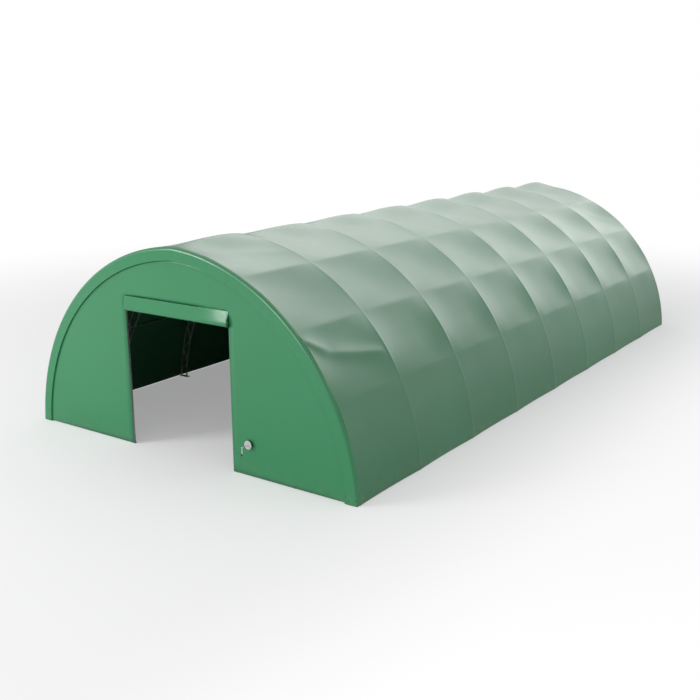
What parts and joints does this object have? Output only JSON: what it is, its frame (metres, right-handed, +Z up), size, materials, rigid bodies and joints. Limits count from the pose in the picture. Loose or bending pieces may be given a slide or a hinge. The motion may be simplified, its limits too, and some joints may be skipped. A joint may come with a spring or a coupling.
{
  "type": "fabric storage hall",
  "caption": "Long round-arch storage hall: trussed steel arches under a green PVC sheet that bows out between them, sheeted gables and a roll-up doorway with a hand winch.",
  "frame": {"origin": "on the ground in the middle of the hall, halfway between the tip of the winch's crank at the front and the rear sheet", "axes": "+Z up, +Y along the hall from the doorway to the rear gable, +X across the hall towards the side that carries the winch"},
  "size_m": [9.2374, 18.5634, 4.6099],
  "materials": {
    "galvanised_steel": "dull zinc coating on welded steel tube",
    "pvc_sheet": "smooth lacquered PVC-coated polyester, semi-gloss",
    "winch_black": "dark powder coat",
    "winch_grey": "pale grey zinc and paint",
    "grip_plastic": "moulded plastic"
  },
  "bodies": {
    "hall": {"arch_1": "galvanised_steel", "arch_2": "galvanised_steel", "arch_3": "galvanised_steel", "arch_4": "galvanised_steel", "arch_5": "galvanised_steel", "arch_6": "galvanised_steel", "arch_7": "galvanised_steel", "arch_8": "galvanised_steel", "arch_9": "galvanised_steel", "purlin_ridge": "galvanised_steel", "purlin_upper_left": "galvanised_steel", "purlin_upper_right": "galvanised_steel", "purlin_middle_left": "galvanised_steel", "purlin_middle_right": "galvanised_steel", "purlin_lower_left": "galvanised_steel", "purlin_lower_right": "galvanised_steel", "door_post_left": "galvanised_steel", "door_post_right": "galvanised_steel", "door_header": "galvanised_steel", "wind_post_left": "galvanised_steel", "wind_post_right": "galvanised_steel", "front_rails": "galvanised_steel", "rear_posts": "galvanised_steel", "rear_rails": "galvanised_steel", "cover_bay_1": "pvc_sheet", "cover_bay_2": "pvc_sheet", "cover_bay_3": "pvc_sheet", "cover_bay_4": "pvc_sheet", "cover_bay_5": "pvc_sheet", "cover_bay_6": "pvc_sheet", "cover_bay_7": "pvc_sheet", "cover_bay_8": "pvc_sheet", "front_gable": "pvc_sheet", "rear_gable": "pvc_sheet", "curtain": "pvc_sheet", "curtain_roll": "pvc_sheet", "roll_tube": "galvanised_steel", "winch_plate": "winch_black", "winch_drum": "winch_black", "winch_disc": "winch_grey"},
    "crank": {"crank": "winch_grey"},
    "grip": {"grip": "grip_plastic"}
  },
  "joints": [
    {"name": "crank_turn", "type": "hinge", "parent": "hall", "child": "crank", "pos_m": [1.93, -9.1, 0.69], "axis": [0, 1, 0], "continuous": true},
    {"name": "grip_spin", "type": "hinge", "parent": "crank", "child": "grip", "pos_m": [1.93, -9.2, 0.54], "axis": [0, 1, 0], "continuous": true}
  ]
}
